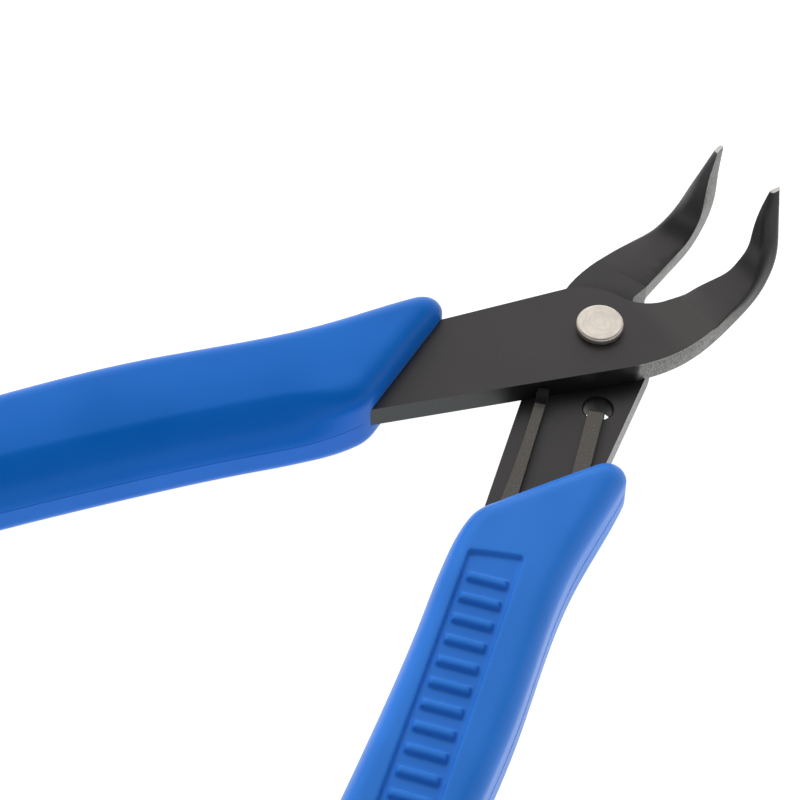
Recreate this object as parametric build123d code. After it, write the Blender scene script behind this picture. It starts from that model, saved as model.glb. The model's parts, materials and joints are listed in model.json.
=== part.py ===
"""Bent-nose tweezer pliers: two riveted steel halves, two moulded grips and a hairpin return spring."""
from build123d import *
import math
import os

os.makedirs("parts", exist_ok=True)

# All sizes in millimetres, all angles in degrees.
# Each half is drawn as it lies with the jaws closed: pivot at the origin, jaws along +X, Z up.
# The handle drawn is the one on +Y, whose jaw is on -Y. The other half is its mirror image in Y.

# Steel halves
PLATE = 3.2                  # plate thickness
PLAY = 0.02                  # running gap between parts that turn on each other
OPEN_HALF = 10.1             # how far each half is turned open at rest
BORE_R = 2.0                 # pivot bore in the rear half, a tight fit on the rivet
MATE_FRONT = 1.25            # relief of the front jaw's inner face behind the tip
MATE_REAR = 0.45             # relief of the rear jaw's inner face behind the tip
MATE_LEAN = 0.35             # extra relief at the outside of the bend
NECK_X = 12.0                # where the flat neck becomes the formed jaw
NECK_W = 8.3                 # outer edge of the neck there

# Jaw bend
BEND_X = 19.5                # where the upward bend starts
BEND_R = 7.8                 # outside radius of the bend
BEND_T = 2.95                # thickness of the jaw at the end of the bend
BEND_ANGLE = 86.0            # how far the jaw turns up
BEND_W = 6.3                 # outer edge of the jaw at the start of the bend
TIP_X = 27.85                # how far the tips are in front of the pivot
TIP_Z = 14.2                 # height of the tips above the face where the halves meet
TIP_W = 0.55                 # distance from the middle plane to the outside of one tip
TIP_GAP = 0.1                # what each upright jaw keeps from the middle plane
TIP_T = 1.45                 # thickness of one tip
TAPER = 0.322                # width lost for each millimetre of height

# Rivet
HEAD_R = 3.1
HEAD_H = 1.15
HEAD_EDGE = 0.35

# Return spring
WIRE_W = 2.05                # width of the wire, lying flat on the rear half
WIRE_H = 1.2                 # thickness of the wire
TIP_WIRE_W = 1.4             # width of the free leg at its end
HOLE_R = 1.93                # hole in the rear half for the fixed leg's hook
HOLE_AT = (-9.0, 6.2)
HOOK_AT = (-10.45, 6.8)      # where the fixed leg starts to turn down
HOOK_T = 0.9                 # thickness of the hook
HOOK_DEPTH = 2.8
WIRE_ANGLE = -23.3           # direction of the fixed leg, towards its hook
FIXED_LEG = 18.3             # length of the fixed leg, from the loop to its hook
LOOP_R = 4.0                 # radius of the loop, to the middle of the wire
FREE_END = (-14.0, 0.43)     # where the free leg starts to turn up
FREE_BOW = (-20.0, 2.05)     # point on the bowed side of the free leg
TURN_R = 0.8                 # inside radius of the free leg's turned-up end
TURN_TOP = 2.4               # height of the turned-up end
POCKET_GAP = 0.3             # room round the spring inside the grip
OVERLAP = 0.05               # how far the loop runs into its legs

# Grips
GRIP_T = 12.3                # thickness
THINNER_FROM = -46.0         # where the grip starts to thin towards its nose
THINNER_TO = (-10.0, 4.7)    # half its thickness just in front of the nose
THINNER_SLOPE = -0.07
GRIP_EDGE = 3.0              # rounding of the long edges
GRIP_OUTER = [(-31.7, 18.6), (-53.3, 25.5), (-74.6, 31.0), (-93.0, 34.3), (-112.0, 34.4)]
GRIP_INNER = [(-112.0, 22.4), (-86.6, 18.2), (-65.3, 12.6), (-48.0, 7.2), (-39.5, 4.6), (-34.5, 4.1)]
FRONT_AT = (-32.9, 4.1)      # inner end of the slanted front
FRONT_ANGLE = 26.6           # direction of the slanted front
FRONT_L = 17.8               # length of the slanted front, up to the nose
FRONT_R = 6.0                # corner at its inner end
NOSE_R = 2.2                 # rounding of the nose
SIDE_ANGLE = -13.0           # direction of the outer side where it meets the nose
END_R = 5.0                  # corners of the rear end
PANEL_AT = (-38.4, 10.9)     # middle of the recessed panel's front end
PANEL_ANGLE = 160.0
PANEL_L = 42.0
PANEL_W = 7.0
PANEL_SLANT = -1.0           # how far forward the outer corner of its front end lies
PANEL_DEPTH = 0.7
RIBS = 12
RIB_START = 3.5
RIB_W = 1.1
RIB_PITCH = 3.15

# Place of the pivot in the part's own frame, whose origin is below the middle of the whole part
PIVOT_X = 39.114
PIVOT_Z = PLATE / 2 + GRIP_T / 2


def tang_outline(mate):
    """Outline of one half from the tang in its grip to the neck of its jaw."""
    outer = Spline((-98, 29.4), (-70, 26.0), (-40, 18.4), tangents=[(1, -0.08), (1, -0.261)])
    back = Line((-40, 18.4), (-0.6, 8.1))
    boss = ThreePointArc((-0.6, 8.1), (3.2, 6.2), (5.3, 3.1))
    throat = ThreePointArc((5.3, 3.1), (6.9, 0.7), (9.6, -0.8))
    mating = Line((9.6, -0.8), (NECK_X, -mate))
    neck = Line((NECK_X, -mate), (NECK_X, -NECK_W))
    belly = Spline((NECK_X, -NECK_W), (6.5, -8.9), (-1.4, -7.2), tangents=[(-1, -0.22), (-1, 0.376)])
    front = Line((-1.4, -7.2), (-40, 7.35))
    inner = Spline((-40, 7.35), (-70, 17.6), (-98, 24.6), tangents=[(-1, 0.376), (-1, 0.2)])
    end = ThreePointArc((-98, 24.6), (-100.4, 27.0), (-98, 29.4))
    return make_face([outer, back, boss, throat, mating, neck, belly, front, inner, end])


def jaw_section(x, z, angle, mate, lean, width, thick, corner):
    """D-shaped section of the jaw: x, z is its point on the outside of the bend."""
    turn = math.radians(angle)
    plane = Plane((x, 0, z), x_dir=(0, -1, 0), z_dir=(math.cos(turn), 0, math.sin(turn)))
    shape = make_face(Polyline((mate + lean, 0), (width, 0), (width, -thick), (mate, -thick), close=True))
    return plane * fillet(shape.vertices().sort_by(Axis.X)[-2:], corner)


def upright_width(z):
    return TIP_W + TAPER * (TIP_Z - z)


def jaw(z0, mate):
    """Jaw from the neck to the tip, for a half whose underside is at z0."""
    end_turn = math.radians(BEND_ANGLE)
    end_x = BEND_X + BEND_R * math.sin(end_turn)
    end_z = z0 + BEND_R * (1 - math.cos(end_turn))
    sections = []
    for x, width, corner, lean in [(NECK_X, NECK_W, 0.05, 0), (14.5, 7.75, 0.3, MATE_LEAN),
                                   (17.0, 7.05, 0.5, MATE_LEAN)]:
        sections.append(jaw_section(x, z0, 0, mate, lean, width, PLATE, corner))
    for step in range(5):
        share = step / 4
        turn = math.radians(BEND_ANGLE * share)
        x = BEND_X + BEND_R * math.sin(turn)
        z = z0 + BEND_R * (1 - math.cos(turn))
        width = BEND_W + (upright_width(end_z) - BEND_W) * share
        thick = PLATE + (BEND_T - PLATE) * share
        left = 1 - share
        sections.append(jaw_section(x, z, BEND_ANGLE * share, mate * left + TIP_GAP * share, MATE_LEAN * left,
                                    width, thick, 0.75 + 0.45 * share))
    for share, corner in [(0.35, 0.95), (0.7, 0.65), (1.0, 0.4)]:
        x = end_x + (TIP_X - end_x) * share
        z = end_z + (TIP_Z - end_z) * share
        thick = BEND_T + (TIP_T - BEND_T) * share ** 2
        sections.append(jaw_section(x, z, BEND_ANGLE, TIP_GAP, 0, upright_width(z), thick, corner))
    return loft(sections)


def half(z0, mate):
    """One steel half with its handle on +Y, without holes."""
    plate = Pos(0, 0, z0) * extrude(tang_outline(mate), PLATE)
    return (plate + jaw(z0, mate)).clean()


def grip_body():
    """One grip with its handle on +Y, centred on Z, without its pocket."""
    along = Vector(1, 0).rotate(Axis.Z, FRONT_ANGLE)
    nose = Vector(*FRONT_AT) + along * FRONT_L
    middle = nose + along.rotate(Axis.Z, 90) * NOSE_R
    side = Vector(1, 0).rotate(Axis.Z, SIDE_ANGLE)
    front = Line(FRONT_AT, nose)
    tip = ThreePointArc(nose, middle + Vector(NOSE_R, 0), middle + side.rotate(Axis.Z, 90) * NOSE_R)
    outer = Spline(tip @ 1, *GRIP_OUTER, tangents=[-side, (-1, 0.01)])
    rear = Line(outer @ 1, GRIP_INNER[0])
    inner = Spline(*GRIP_INNER, FRONT_AT)
    face = make_face([front, tip, outer, rear, inner])
    for corner, radius in ((rear @ 0, END_R), (rear @ 1, END_R), (front @ 0, FRONT_R)):
        face = fillet(face.vertices().sort_by_distance(corner)[0], radius)
    # side profile, thinner towards the nose
    half_t = GRIP_T / 2
    top = Line((-120, half_t), (THINNER_FROM, half_t))
    slope = Spline(top @ 1, THINNER_TO, tangents=[(1, 0), (1, THINNER_SLOPE)])
    bottom = Polyline(THINNER_TO, (THINNER_TO[0], 0), (-120, 0), (-120, half_t))
    profile = make_face([top, slope, bottom])
    profile = Plane.XZ * (profile + mirror(profile, Plane.XZ))
    block = extrude(face, GRIP_T, both=True) & extrude(profile, 60, both=True)
    rims = [edge for edge in block.edges() if abs((edge @ 0.5).Z) > GRIP_EDGE]
    return fillet(rims, GRIP_EDGE)


def panel():
    """Recess of the grip's panel, with a row of ribs left standing in it."""
    half_w = PANEL_W / 2
    field = make_face(Polyline((0, half_w), (PANEL_SLANT, -half_w), (PANEL_L, -half_w), (PANEL_L, half_w),
                               close=True))
    for i in range(RIBS):
        field -= Pos(RIB_START + RIB_PITCH * i, 0) * Rectangle(RIB_W, PANEL_W - 2)
    place = Location((*PANEL_AT, GRIP_T / 2), (0, 0, PANEL_ANGLE))
    return place * extrude(field, -PANEL_DEPTH)


def wire_frame():
    """Directions along and across the fixed leg, its rear end and the middle of the loop."""
    along = Vector(1, 0).rotate(Axis.Z, WIRE_ANGLE)
    across = along.rotate(Axis.Z, 90)
    start = Vector(*HOOK_AT) - along * FIXED_LEG
    return along, across, start, start - across * LOOP_R


def standing(point, way):
    """Upright plane through a point, with X along the given way and Y up."""
    return Plane((point.X, point.Y, 0), x_dir=(way.X, way.Y, 0), z_dir=(way.Y, -way.X, 0))


def spring():
    """Hairpin of flat wire with its handle on +Y, lying on Z 0."""
    along, across, start, middle = wire_frame()
    half_w = WIRE_W / 2
    hook, end = Vector(*HOOK_AT), Vector(*FREE_END)
    turn = middle - across * LOOP_R
    # loop, cut off where the legs begin
    ring = Pos(middle.X, middle.Y) * (Circle(LOOP_R + half_w) - Circle(LOOP_R - half_w))
    behind = middle - along * (10 - OVERLAP)
    loop = ring & (Location((behind.X, behind.Y, 0), (0, 0, WIRE_ANGLE)) * Rectangle(20, 20))
    fixed = make_face(Polyline(hook + across * half_w, start + across * half_w,
                               start - across * half_w, hook - across * half_w, close=True))
    # free leg, bowed on its inner side and narrower at its end
    way = (end - turn).normalized()
    tip = Vector(-way.Y, way.X) * (TIP_WIRE_W / 2)
    outside = Line(turn + across * half_w, end + tip)
    cut = Line(end + tip, end - tip)
    bow = Spline(end - tip, FREE_BOW, turn - across * half_w)
    root = Line(turn - across * half_w, turn + across * half_w)
    free = make_face([outside, cut, bow, root])
    body = extrude(fixed, WIRE_H) + extrude(loop, WIRE_H) + extrude(free, WIRE_H)
    # fixed leg's hook, turned down into its hole
    shank = Pos(HOOK_T / 2, -HOOK_DEPTH / 2) * Rectangle(HOOK_T, HOOK_DEPTH)
    shoulder = make_face([Line((0, 0), (0, WIRE_H)), RadiusArc((0, WIRE_H), (HOOK_T, 0), WIRE_H),
                          Line((HOOK_T, 0), (0, 0))])
    body += extrude(standing(hook, along) * (shank + shoulder), half_w, both=True)
    # free leg's end, turned up to bear on the other half
    top = WIRE_H + TURN_R
    elbow = (Pos(0, top) * (Circle(top) - Circle(TURN_R))) & (Pos(top / 2, top / 2) * Rectangle(top, top))
    post = Pos(TURN_R + WIRE_H / 2, (top + TURN_TOP) / 2) * Rectangle(WIRE_H, TURN_TOP - top)
    body += extrude(standing(end, way) * (elbow + post), TIP_WIRE_W / 2, both=True)
    return body.clean()


def spring_pocket():
    """Room for the spring under the rear grip."""
    along, across, start, middle = wire_frame()
    reach = LOOP_R + WIRE_W / 2 + POCKET_GAP
    way_out = middle + along * 10
    room = Pos(middle.X, middle.Y) * Circle(reach)
    room += Location((way_out.X, way_out.Y, 0), (0, 0, WIRE_ANGLE)) * Rectangle(20, 2 * reach)
    return extrude(room, WIRE_H + POCKET_GAP)


def rivet():
    """Rivet with its shank on Z, both heads formed."""
    shank_top = PLATE + PLAY * 2
    shank_foot = -PLATE
    shank = Pos(0, 0, shank_foot) * extrude(Circle(BORE_R), shank_top - shank_foot)
    head = fillet(extrude(Circle(HEAD_R), HEAD_H).edges(), HEAD_EDGE)
    return shank + Pos(0, 0, shank_top) * head + Pos(0, 0, shank_foot) * mirror(head, Plane.XY)


# The two halves and their grips, drawn closed
front_half = half(PLAY, MATE_FRONT) - extrude(Circle(BORE_R + PLAY), 10, both=True)
rear_half = half(-PLATE, MATE_REAR) - extrude(Circle(BORE_R), 10, both=True)
grip = grip_body() - panel()
rear_grip = Pos(0, 0, -PLATE / 2) * grip - rear_half - spring_pocket()
rear_half -= Pos(*HOLE_AT, 0) * extrude(Circle(HOLE_R), 10, both=True)
front_grip = Pos(0, 0, PLAY + PLATE / 2) * mirror(grip, Plane.XY) - front_half

# Open them about the rivet
turn_front = Rot(0, 0, -OPEN_HALF)
turn_rear = Rot(0, 0, OPEN_HALF)
pieces = {
    "front_half": turn_front * front_half,
    "front_grip": turn_front * front_grip,
    "rear_half": turn_rear * mirror(rear_half, Plane.XZ),
    "rear_grip": turn_rear * mirror(rear_grip, Plane.XZ),
    "return_spring": turn_rear * mirror(spring(), Plane.XZ),
    "pivot_rivet": rivet(),
}

for name, piece in pieces.items():
    piece = Pos(PIVOT_X, 0, PIVOT_Z) * piece
    piece.label = name
    export_step(piece, f"parts/{name}.step")
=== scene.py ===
"""Looks of the bent-nose tweezer pliers: fine detail, materials, studio and camera round the CAD model."""
import json
import math

import bmesh
import bpy
from mathutils import Matrix, Vector


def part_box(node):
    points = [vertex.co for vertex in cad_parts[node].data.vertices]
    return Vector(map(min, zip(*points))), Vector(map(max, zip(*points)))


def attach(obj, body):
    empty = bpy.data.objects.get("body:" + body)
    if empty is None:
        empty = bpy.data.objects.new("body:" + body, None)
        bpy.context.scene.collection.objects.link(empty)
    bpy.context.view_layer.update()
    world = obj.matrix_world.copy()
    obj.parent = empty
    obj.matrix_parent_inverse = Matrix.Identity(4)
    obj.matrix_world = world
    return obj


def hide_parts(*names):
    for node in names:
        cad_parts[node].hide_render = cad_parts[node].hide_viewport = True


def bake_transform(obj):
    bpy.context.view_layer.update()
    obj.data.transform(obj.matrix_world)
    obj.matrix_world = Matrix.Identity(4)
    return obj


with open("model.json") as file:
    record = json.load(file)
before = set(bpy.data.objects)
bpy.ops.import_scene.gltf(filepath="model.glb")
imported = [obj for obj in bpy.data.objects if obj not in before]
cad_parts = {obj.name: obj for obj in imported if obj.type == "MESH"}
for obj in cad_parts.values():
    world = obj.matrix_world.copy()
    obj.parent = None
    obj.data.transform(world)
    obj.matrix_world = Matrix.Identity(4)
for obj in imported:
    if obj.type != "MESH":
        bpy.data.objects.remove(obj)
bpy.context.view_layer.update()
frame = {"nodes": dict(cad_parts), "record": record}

MM = 0.001
hinge = frame["record"]["behaviour"]["joints"][0]
PIVOT = Vector(hinge["pos_m"])
HALF_OPEN = math.radians(10.1)          # how far each half stands open at rest
PLATE = 3.2 * MM                        # thickness of one half
SPRING_HOLE = (9.0 * MM, 6.2 * MM)      # in the rear half: behind the pivot and out from it
nodes = frame["nodes"]

# ---------------------------------------------------------------- camera
LOOKS_TOWARDS = math.radians(47.355)    # direction of view in plan, from +X towards +Y
LOOKS_DOWN = math.radians(51.500)       # and below the horizon
EYE = PIVOT + Vector((-170.23, -146.37, 268.40)) * MM
camera_data = bpy.data.cameras.new("camera")
camera_data.sensor_width = 36
camera_data.lens = 119.37
camera_data.clip_start = 0.01
camera_data.clip_end = 10
camera = bpy.data.objects.new("camera", camera_data)
bpy.context.collection.objects.link(camera)
forward = Vector((math.cos(LOOKS_DOWN) * math.cos(LOOKS_TOWARDS),
                  math.cos(LOOKS_DOWN) * math.sin(LOOKS_TOWARDS), -math.sin(LOOKS_DOWN)))
right = forward.cross(Vector((0, 0, 1))).normalized()
up = right.cross(forward)
place = Matrix((right, up, -forward)).transposed().to_4x4()
place.translation = EYE
camera.matrix_world = place
bpy.context.scene.camera = camera


# ---------------------------------------------------------------- shared helpers
def half_axes(side):
    """Directions of one half as it stands at rest: ahead to its tip, and out to its handle's outer edge."""
    turn = -HALF_OPEN * side
    return Vector((math.cos(turn), math.sin(turn), 0)), Vector((-math.sin(turn), math.cos(turn), 0)) * side


class Shader:
    """A material being wired up: every call adds one node and hands back its main output."""

    def __init__(self, name, **settings):
        self.material = bpy.data.materials.new(name)
        self.material.use_nodes = True
        self.tree = self.material.node_tree
        self.bsdf = self.tree.nodes["Principled BSDF"]
        for socket, value in settings.items():
            self.bsdf.inputs[socket.replace("_", " ")].default_value = value
        coordinates = self.tree.nodes.new("ShaderNodeTexCoord")
        self.place = coordinates.outputs["Object"]
        self.normal = coordinates.outputs["Normal"]

    def wire(self, value, socket):
        if isinstance(value, bpy.types.NodeSocket):
            self.tree.links.new(value, socket)
        else:
            socket.default_value = value

    def math(self, operation, first, second=0.0):
        made = self.tree.nodes.new("ShaderNodeMath")
        made.operation = operation
        self.wire(first, made.inputs[0])
        self.wire(second, made.inputs[1])
        return made.outputs[0]

    def times(self, first, *others):
        """Product of any number of masks."""
        for other in others:
            first = self.math("MULTIPLY", first, other)
        return first

    def length(self, first, second):
        """Distance from the origin of a plane, from its two coordinates."""
        return self.math("SQRT", self.math("ADD", self.times(first, first), self.times(second, second)))

    def dot(self, vector, direction):
        made = self.tree.nodes.new("ShaderNodeVectorMath")
        made.operation = "DOT_PRODUCT"
        self.wire(vector, made.inputs[0])
        made.inputs[1].default_value = direction
        return made.outputs["Value"]

    def step(self, value, low, high):
        """0 below low, 1 above high and a smooth rise between them (or the other way round)."""
        made = self.tree.nodes.new("ShaderNodeMapRange")
        made.interpolation_type = "SMOOTHSTEP"
        self.wire(value, made.inputs["Value"])
        if low < high:
            ends = (low, high, 0.0, 1.0)
        else:
            ends = (high, low, 1.0, 0.0)
        for end, socket in zip(ends, ("From Min", "From Max", "To Min", "To Max")):
            made.inputs[socket].default_value = end
        return made.outputs[0]

    def stretch(self, scale, origin=(0, 0, 0)):
        """Place in the object, measured from origin and scaled along each axis."""
        shifted = self.tree.nodes.new("ShaderNodeVectorMath")
        shifted.operation = "SUBTRACT"
        self.wire(self.place, shifted.inputs[0])
        shifted.inputs[1].default_value = origin
        made = self.tree.nodes.new("ShaderNodeMapping")
        made.vector_type = "POINT"
        self.wire(shifted.outputs[0], made.inputs["Vector"])
        made.inputs["Scale"].default_value = scale
        return made.outputs[0]

    def noise(self, size, detail=3.0, roughness=0.55, vector=None):
        """Noise whose features are about size metres across, around 0.5."""
        made = self.tree.nodes.new("ShaderNodeTexNoise")
        self.wire(self.place if vector is None else vector, made.inputs["Vector"])
        made.inputs["Scale"].default_value = 1 / size
        made.inputs["Detail"].default_value = detail
        made.inputs["Roughness"].default_value = roughness
        return made.outputs["Fac"]

    def mix(self, factor, first, second):
        made = self.tree.nodes.new("ShaderNodeMix")
        made.data_type = "RGBA"
        self.wire(factor, made.inputs[0])
        for value, socket in ((first, made.inputs[6]), (second, made.inputs[7])):
            self.wire(value if isinstance(value, bpy.types.NodeSocket) else (*value, 1), socket)
        return made.outputs[2]

    def blend(self, factor, first, second):
        """Number that goes from first to second as factor goes from 0 to 1."""
        made = self.tree.nodes.new("ShaderNodeMix")
        for value, socket in zip((factor, first, second), (made.inputs[0], made.inputs[2], made.inputs[3])):
            self.wire(value, socket)
        return made.outputs[0]

    def bump(self, height, distance, strength):
        made = self.tree.nodes.new("ShaderNodeBump")
        made.inputs["Strength"].default_value = strength
        made.inputs["Distance"].default_value = distance
        self.wire(height, made.inputs["Height"])
        return made.outputs[0]

    def finish(self, **sockets):
        for socket, value in sockets.items():
            self.wire(value, self.bsdf.inputs[socket.replace("_", " ")])
        return self.material


# ---------------------------------------------------------------- materials
def steel(name, side):
    """Black-oxide steel of one half, bare where it has been ground, with shade and edge highlights painted
    into its colour. side is 1 if its handle is on +Y.
    """
    s = Shader(name, IOR=1.5)
    along, across = half_axes(side)
    ahead = s.math("SUBTRACT", s.dot(s.place, along), PIVOT.dot(along))
    aside = s.math("SUBTRACT", s.dot(s.place, across), PIVOT.dot(across))
    facing = s.dot(s.normal, across)
    level = s.math("ABSOLUTE", s.dot(s.normal, (0, 0, 1)))
    height = s.math("SUBTRACT", s.dot(s.place, (0, 0, 1)), PIVOT.z)

    # where the part is sheared: its upright edges, apart from the inner side where the halves cross, which
    # is kept dark as painted shade
    crossing_shade = s.times(s.step(facing, -0.5, -0.7), s.step(ahead, -17.2 * MM, -14.8 * MM))
    edge = s.times(s.step(s.math("ABSOLUTE", facing), 0.6, 0.85), s.step(level, 0.5, 0.25),
                   s.step(height, 5.5 * MM, 3.0 * MM), s.math("SUBTRACT", 1.0, crossing_shade))

    # where it is bare: the jaw's inner face, the handle's outer edge, the outside of the bend and the tip
    outer = s.step(facing, 0.75, 0.88)
    mating = s.times(outer, s.step(ahead, 8.5 * MM, 10.0 * MM), 0.62)
    slant = 0.2614                          # how fast the handle's outer edge runs outwards to the back
    rim = s.math("ADD", aside, s.times(ahead, slant))
    handle = s.times(outer, s.step(ahead, 1.0 * MM, -1.0 * MM), s.step(rim, 7.2 * MM, 7.5 * MM))
    ragged = s.math("ADD", ahead, s.times(s.math("SUBTRACT", s.noise(1.2 * MM), 0.5), 1.5 * MM))
    belly = s.times(s.step(facing, -0.6, -0.9), s.step(ragged, 0.3 * MM, 0.9 * MM),
                    s.step(ragged, 22.0 * MM, 11.0 * MM), 0.75)
    tip = s.step(height, 14.05 * MM, 14.15 * MM)
    bare = s.math("MAXIMUM", s.math("MAXIMUM", mating, handle), s.math("MAXIMUM", belly, tip))

    # painted highlight: lighter upper edges
    top = PLATE if side == 1 else 0.0
    edge_highlight = s.times(s.step(s.math("ABSOLUTE", s.math("SUBTRACT", height, top)), 0.25 * MM, 0.1 * MM),
                   s.step(level, 0.985, 0.9), s.step(level, 0.1, 0.4), s.step(ahead, 13.0 * MM, 10.5 * MM))

    # painted shade, darker and less reflective: the upright jaw and the edge where the halves cross above,
    # the hole's wall and the jaw's root below
    if side == 1:
        upright_shade = s.times(s.step(height, 4.0 * MM, 8.0 * MM), s.blend(tip, 0.5, 0.0))
        shaded = s.times(crossing_shade, s.step(ahead, 1.0 * MM, 0.0), s.step(level, 0.6, 0.4), 0.8)
        painted_shade = s.math("MAXIMUM", upright_shade, shaded)
    else:
        from_hole = s.length(s.math("ADD", ahead, SPRING_HOLE[0]), s.math("SUBTRACT", aside, SPRING_HOLE[1]))
        well_shade = s.step(from_hole, 2.15 * MM, 2.0 * MM)
        root_shade = s.times(s.step(s.length(ahead, aside), 11.5 * MM, 7.0 * MM), 0.55)
        painted_shade = s.math("MAXIMUM", well_shade, root_shade)

    # grain: fine satin on the faces, streaks through the thickness on the ground edges
    satin = s.noise(0.12 * MM, detail=3.0)
    cloud = s.noise(9 * MM, detail=2.0)
    streak = s.noise(0.11 * MM, detail=4.0, vector=s.stretch((1, 1, 0.2)))
    oxide = s.mix(s.step(satin, 0.3, 0.7), (0.024, 0.0225, 0.0228), (0.031, 0.0290, 0.0292))
    oxide = s.mix(s.times(s.step(cloud, 0.35, 0.65), 0.4), oxide, (0.036, 0.032, 0.031))
    if side == 1:
        # painted light: lighter, warmer tone on the top faces of the front jaw's neck
        neck_light = s.times(s.step(ahead, 5.0 * MM, 9.0 * MM), s.step(ahead, 17.0 * MM, 12.0 * MM), 0.8)
        oxide = s.mix(s.times(neck_light, s.step(level, 0.8, 0.97)), oxide, (0.054, 0.049, 0.048))
    sheared = s.mix(s.step(satin, 0.35, 0.7), (0.046, 0.050, 0.048), (0.064, 0.069, 0.066))
    ground = s.mix(s.step(streak, 0.3, 0.7), (0.13, 0.135, 0.128), (0.36, 0.36, 0.345))
    colour = s.mix(bare, s.mix(edge, oxide, sheared), ground)
    # painted highlight along the upper edges
    colour = s.mix(s.times(edge_highlight, 0.8), colour, (0.36, 0.36, 0.35))
    colour = s.mix(tip, colour, (0.58, 0.57, 0.55))
    # painted shade: near black where shade falls
    colour = s.mix(painted_shade, colour, (0.006, 0.006, 0.006))
    return s.finish(
        Base_Color=colour,
        Metallic=s.blend(bare, s.blend(edge, 0.0, 0.6), 1.0),
        Roughness=s.blend(bare, s.blend(edge, 0.42, 0.36), 0.42),
        # lowered reflection where the shade is painted
        Specular_IOR_Level=s.blend(painted_shade, 0.5, 0.08),
        Normal=s.bump(s.blend(bare, satin, streak), 0.006 * MM, 0.5),
    )


def rivet_metal():
    """Nickel-plated rivet with faint turning marks on its heads."""
    s = Shader("rivet_nickel", Metallic=1.0)
    centred = s.stretch((1, 1, 1), origin=PIVOT)
    rings = s.tree.nodes.new("ShaderNodeTexWave")
    rings.wave_type = "RINGS"
    rings.rings_direction = "Z"
    rings.inputs["Scale"].default_value = 420
    rings.inputs["Distortion"].default_value = 9
    rings.inputs["Detail"].default_value = 2
    rings.inputs["Detail Scale"].default_value = 1.2
    s.wire(centred, rings.inputs["Vector"])
    swirl = rings.outputs["Fac"]
    patch = s.noise(1.6 * MM, detail=3.0)
    colour = s.mix(s.times(swirl, 0.5), (0.70, 0.65, 0.575), (0.82, 0.78, 0.715))
    colour = s.mix(s.step(patch, 0.4, 0.7), colour, (0.66, 0.615, 0.545))
    return s.finish(Base_Color=colour, Roughness=s.blend(patch, 0.36, 0.48),
                    Normal=s.bump(swirl, 0.02 * MM, 0.25))


def spring_steel():
    """Flat wire, brown-grey from its heat treatment, with a coarse grain, and painted shade making its
    turned-up end near black.
    """
    s = Shader("spring_wire")
    grain = s.noise(0.14 * MM, detail=3.0, roughness=0.6)
    stain = s.noise(3 * MM)
    colour = s.mix(s.step(grain, 0.3, 0.72), (0.065, 0.062, 0.056), (0.125, 0.120, 0.108))
    colour = s.mix(s.times(s.step(stain, 0.4, 0.65), 0.5), colour, (0.095, 0.085, 0.070))
    # painted shade: the turned-up end of the free leg is made near black and dull
    turned_up_shade = s.step(s.dot(s.place, (0, 0, 1)), PIVOT.z + 1.22 * MM, PIVOT.z + 1.32 * MM)
    fleck = s.step(s.noise(0.22 * MM, detail=2.0), 0.62, 0.74)
    colour = s.mix(s.times(fleck, 0.6), colour, (0.22, 0.215, 0.20))
    colour = s.mix(turned_up_shade, colour, (0.004, 0.004, 0.004))
    return s.finish(Base_Color=colour, Metallic=s.blend(turned_up_shade, 0.6, 0.0),
                    Roughness=s.blend(turned_up_shade, s.blend(grain, 0.32, 0.46), 0.95),
                    Normal=s.bump(grain, 0.02 * MM, 0.7))


def grip_plastic(name, base):
    """Soft satin moulding."""
    s = Shader(name, IOR=1.45, Specular_IOR_Level=0.2, Sheen_Weight=0.1, Sheen_Roughness=0.35)
    skin = s.noise(0.35 * MM, detail=3.0)
    cloud = s.noise(14 * MM, detail=1.0)
    lighter = tuple(min(1, channel * 1.10 + 0.004) for channel in base)
    colour = s.mix(s.step(cloud, 0.3, 0.7), base, lighter)
    return s.finish(Base_Color=colour, Roughness=s.blend(skin, 0.31, 0.38),
                    Normal=s.bump(skin, 0.01 * MM, 0.35))


finishes = {
    "front_half": steel("black_steel_front", 1),
    "rear_half": steel("black_steel_rear", -1),
    # painted light: the front grip gets a darker, shaded copy of the blue and the rear grip a lighter, lit
    # copy
    "front_grip": grip_plastic("grip_blue_front_shaded", (0.0, 0.150, 0.61)),
    "rear_grip": grip_plastic("grip_blue_rear_lit", (0.022, 0.194, 0.70)),
    "pivot_rivet": rivet_metal(),
    "return_spring": spring_steel(),
}
for name, node in nodes.items():
    node.data.materials[0] = finishes[name]


# ---------------------------------------------------------------- fine geometry
def soften_edges(piece, width, angle):
    """Small rounding along the sharp edges."""
    weld = piece.modifiers.new("weld", "WELD")
    weld.merge_threshold = 0.002 * MM
    bevel = piece.modifiers.new("soft_edges", "BEVEL")
    bevel.width = width
    bevel.segments = 2
    bevel.limit_method = "ANGLE"
    bevel.angle_limit = math.radians(angle)
    bevel.harden_normals = True


for name in ("front_half", "rear_half"):
    soften_edges(nodes[name], 0.12 * MM, 50)


def new_piece(name, mesh, body, material):
    """A piece of the looks, riding its body unless body is None."""
    piece = bpy.data.objects.new(name, mesh)
    bpy.context.collection.objects.link(piece)
    mesh.materials.clear()
    mesh.materials.append(material)
    if body:
        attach(piece, body)
    return piece


def settled(piece):
    """The piece's mesh with its modifiers worked in."""
    graph = bpy.context.evaluated_depsgraph_get()
    mesh = bpy.data.meshes.new_from_object(piece.evaluated_get(graph))
    piece.modifiers.clear()
    piece.data = mesh
    return mesh


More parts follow.
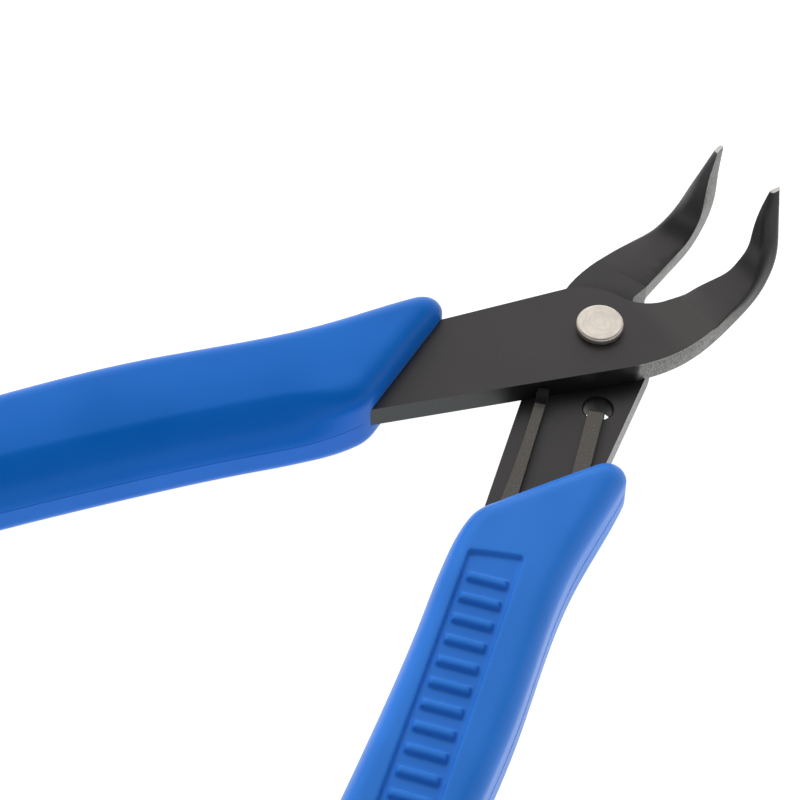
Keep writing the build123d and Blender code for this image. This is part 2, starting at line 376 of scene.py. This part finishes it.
def outline(mesh, height):
    """Outer loop of the mesh at one height, as a list of points in order."""
    cut = bmesh.new()
    cut.from_mesh(mesh)
    made = bmesh.ops.bisect_plane(cut, geom=cut.verts[:] + cut.edges[:] + cut.faces[:],
                                  plane_co=(0, 0, height), plane_no=(0, 0, 1))
    edges = dict.fromkeys(item for item in made["geom_cut"] if isinstance(item, bmesh.types.BMEdge))
    loops = []
    while edges:
        edge = next(iter(edges))
        del edges[edge]
        loop = [edge.verts[0], edge.verts[1]]
        while True:
            onward = [item for item in loop[-1].link_edges if item in edges]
            if not onward:
                break
            del edges[onward[0]]
            loop.append(onward[0].other_vert(loop[-1]))
        loops.append([vertex.co.copy() for vertex in loop])
    cut.free()

    def spread(loop):
        return max(point.x for point in loop) - min(point.x for point in loop)

    return max(loops, key=spread)


def moulded_grip(node_name, body, side, lean, reach, crown):
    """
    The grip as a soft moulding with slightly crowned faces and its parting line. side is 1 for +Y.
    Within reach of the inner side the top leans inwards by up to lean, and the faces sink by a share crown.
    """
    node = nodes[node_name]
    piece = new_piece(node_name + "_moulding", node.data.copy(), None, finishes[node_name])
    weld = piece.modifiers.new("weld", "WELD")
    weld.merge_threshold = 0.002 * MM
    remesh = piece.modifiers.new("remesh", "REMESH")
    remesh.mode = "VOXEL"
    remesh.voxel_size = 0.22 * MM
    smooth = piece.modifiers.new("smooth", "SMOOTH")
    smooth.factor = 0.5
    smooth.iterations = 3
    mesh = settled(piece)

    along, across = half_axes(side)
    low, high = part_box(node_name)
    middle = (low.z + high.z) / 2
    line = outline(mesh, middle)
    station = 1.0 * MM                      # spacing at which the width is noted
    full = PIVOT.dot(along) - 43 * MM       # the leaning fades out from here
    gone = PIVOT.dot(along) - 34 * MM       # to here
    outer_crown = 0.085                     # share by which both faces sink towards the outer side
    outer_reach = 9 * MM                    # and how far in from it that starts
    edges = {}
    for point in line:
        key = round(point.dot(along) / station)
        aside = point.dot(across)
        inner, outer = edges.get(key, (aside, aside))
        edges[key] = (min(inner, aside), max(outer, aside))

    def rim(ahead, which):
        """Where the inner (0) or outer (1) side lies at this station, between the two nearest ones."""
        first = math.floor(ahead / station)
        part = ahead / station - first
        near = edges.get(first, edges.get(first + 1))
        far = edges.get(first + 1, near)
        return near[which] * (1 - part) + far[which] * part if near else None

    for vertex in mesh.vertices:
        ahead, aside = vertex.co.dot(along), vertex.co.dot(across)
        inner, outer = rim(ahead, 0), rim(ahead, 1)
        if outer is None:
            continue
        behind = min(1.0, max(0.0, (gone - ahead) / (gone - full)))
        near_inner = max(0.0, 1 - max(0.0, aside - inner) / reach) ** 2 * behind ** 2 * (3 - 2 * behind)
        near_outer = max(0.0, 1 - max(0.0, outer - aside) / outer_reach) ** 2
        raised = max(0.0, vertex.co.z - middle) / (high.z - middle)
        vertex.co.z -= (vertex.co.z - middle) * (outer_crown * near_outer + crown * near_inner)
        vertex.co += across * lean * raised ** 1.4 * near_inner
    for polygon in mesh.polygons:
        polygon.use_smooth = True
    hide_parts(node_name)
    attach(piece, body)

    seam = bpy.data.curves.new(node_name + "_parting_line", "CURVE")
    seam.dimensions = "3D"
    seam.bevel_depth = 0.045 * MM
    seam.bevel_resolution = 1
    spline = seam.splines.new("POLY")
    kept = line[::3]
    spline.points.add(len(kept) - 1)
    spline.use_cyclic_u = True
    for index, corner in enumerate(spline.points):
        before, after = kept[index - 1], kept[(index + 1) % len(kept)]
        corner.co = (*((before + kept[index] + after) / 3), 1)
    tube = bpy.data.objects.new(node_name + "_parting_line", seam)
    bpy.context.collection.objects.link(tube)
    seam.materials.append(finishes[node_name])
    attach(tube, body)


moulded_grip("front_grip", "front", side=1, lean=3.4 * MM, reach=12 * MM, crown=0.16)
moulded_grip("rear_grip", "rear", side=-1, lean=1.2 * MM, reach=7 * MM, crown=0.0)


def split_spring():
    """The hairpin in two pieces: the fixed leg with the loop, riding the rear half, and the free leg, cut
    across at close spacing.
    """
    along, across = half_axes(-1)
    slant = math.radians(23.3)              # angle of the spring's middle line to the half
    leg = 17.6 * MM                         # from the legs' front ends back to the loop
    step = 0.9 * MM                         # spacing of the cuts across the free leg
    backwards = -along * math.cos(slant) + across * math.sin(slant)
    sideways = along * math.sin(slant) + across * math.cos(slant)
    between = PIVOT + (along * -12.03 + across * 3.13) * MM
    loop_at = between + backwards * leg
    node = nodes["return_spring"]
    for free_leg in (False, True):
        work = bmesh.new()
        work.from_mesh(node.data)
        bmesh.ops.remove_doubles(work, verts=work.verts, dist=0.002 * MM)
        cuts = [loop_at - backwards * step * count for count in range(24)] if free_leg else [loop_at]
        for place in cuts:
            bmesh.ops.bisect_plane(work, geom=work.verts[:] + work.edges[:] + work.faces[:],
                                   plane_co=place, plane_no=backwards, dist=1e-7)
        unwanted = []
        for face in work.faces:
            centre = face.calc_center_median()
            in_leg = (centre - between).dot(sideways) < 0 and (centre - loop_at).dot(backwards) < 0
            if in_leg != free_leg:
                unwanted.append(face)
        bmesh.ops.delete(work, geom=unwanted, context="FACES")
        bmesh.ops.holes_fill(work, edges=[edge for edge in work.edges if edge.is_boundary], sides=0)
        mesh = bpy.data.meshes.new("spring")
        work.to_mesh(mesh)
        work.free()
        name = "spring_free_leg" if free_leg else "spring_fixed_leg"
        piece = new_piece(name, mesh, None if free_leg else "rear", finishes["return_spring"])
        soften_edges(piece, 0.2 * MM, 40)
        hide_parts("return_spring")
        if free_leg:
            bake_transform(piece)


split_spring()


# ---------------------------------------------------------------- studio
floor_mesh = bpy.data.meshes.new("floor")
corners = [(-3, -3, 0), (3, -3, 0), (3, 3, 0), (-3, 3, 0)]
floor_mesh.from_pydata(corners, [], [(0, 1, 2, 3)])
floor = bpy.data.objects.new("floor", floor_mesh)
bpy.context.collection.objects.link(floor)
floor.location.z = -0.02 * MM
floor_paint = Shader("floor_paint", Base_Color=(0.35, 0.35, 0.35, 1), Roughness=0.9, Specular_IOR_Level=0.0,
                     Emission_Color=(1, 1, 1, 1), Emission_Strength=0.97)
floor_mesh.materials.append(floor_paint.material)

world = bpy.data.worlds.new("studio")
bpy.context.scene.world = world
world.use_nodes = True
tree = world.node_tree
background = tree.nodes["Background"]
direction = tree.nodes.new("ShaderNodeTexCoord")


def sky(towards, stops, tint=(1, 1, 1)):
    """Brightness by the angle from one direction, as a list of (cosine, level) stops."""
    angle = tree.nodes.new("ShaderNodeVectorMath")
    angle.operation = "DOT_PRODUCT"
    tree.links.new(direction.outputs["Generated"], angle.inputs[0])
    angle.inputs[1].default_value = Vector(towards).normalized()
    ramp = tree.nodes.new("ShaderNodeValToRGB")
    tree.links.new(angle.outputs["Value"], ramp.inputs[0])
    ramp.color_ramp.interpolation = "EASE"
    while len(ramp.color_ramp.elements) < len(stops):
        ramp.color_ramp.elements.new(0.5)
    for stop, (cosine, level) in zip(ramp.color_ramp.elements, stops):
        stop.position = cosine
        stop.color = (*(level * channel for channel in tint), 1)
    return ramp.outputs[0]


horizon = sky((0, 0, 1), [(0.0, 1.05), (0.28, 0.95), (0.52, 0.10), (1.0, 0.10)])
softbox = sky((0.42, 0.46, 0.78), [(0.0, 0.0), (0.65, 0.06), (0.93, 0.96), (1.0, 1.04)], (1, 0.965, 0.965))
together = tree.nodes.new("ShaderNodeVectorMath")
together.operation = "ADD"
tree.links.new(horizon, together.inputs[0])
tree.links.new(softbox, together.inputs[1])
tree.links.new(together.outputs[0], background.inputs["Color"])
background.inputs["Strength"].default_value = 1.0


def lamp(name, size, power, place):
    """Round area lamp that faces the origin and isn't seen in reflections."""
    data = bpy.data.lights.new(name, "AREA")
    data.shape = "DISK"
    data.size = size
    data.energy = power
    lamp_object = bpy.data.objects.new(name, data)
    bpy.context.collection.objects.link(lamp_object)
    lamp_object.location = place
    lamp_object.rotation_mode = "QUATERNION"
    lamp_object.rotation_quaternion = Vector(place).to_track_quat("Z", "Y")
    lamp_object.visible_glossy = False


lamp("far_key", 0.7, 7, (0.3, 1.0, 0.9))
bpy.context.scene.view_settings.view_transform = "Standard"
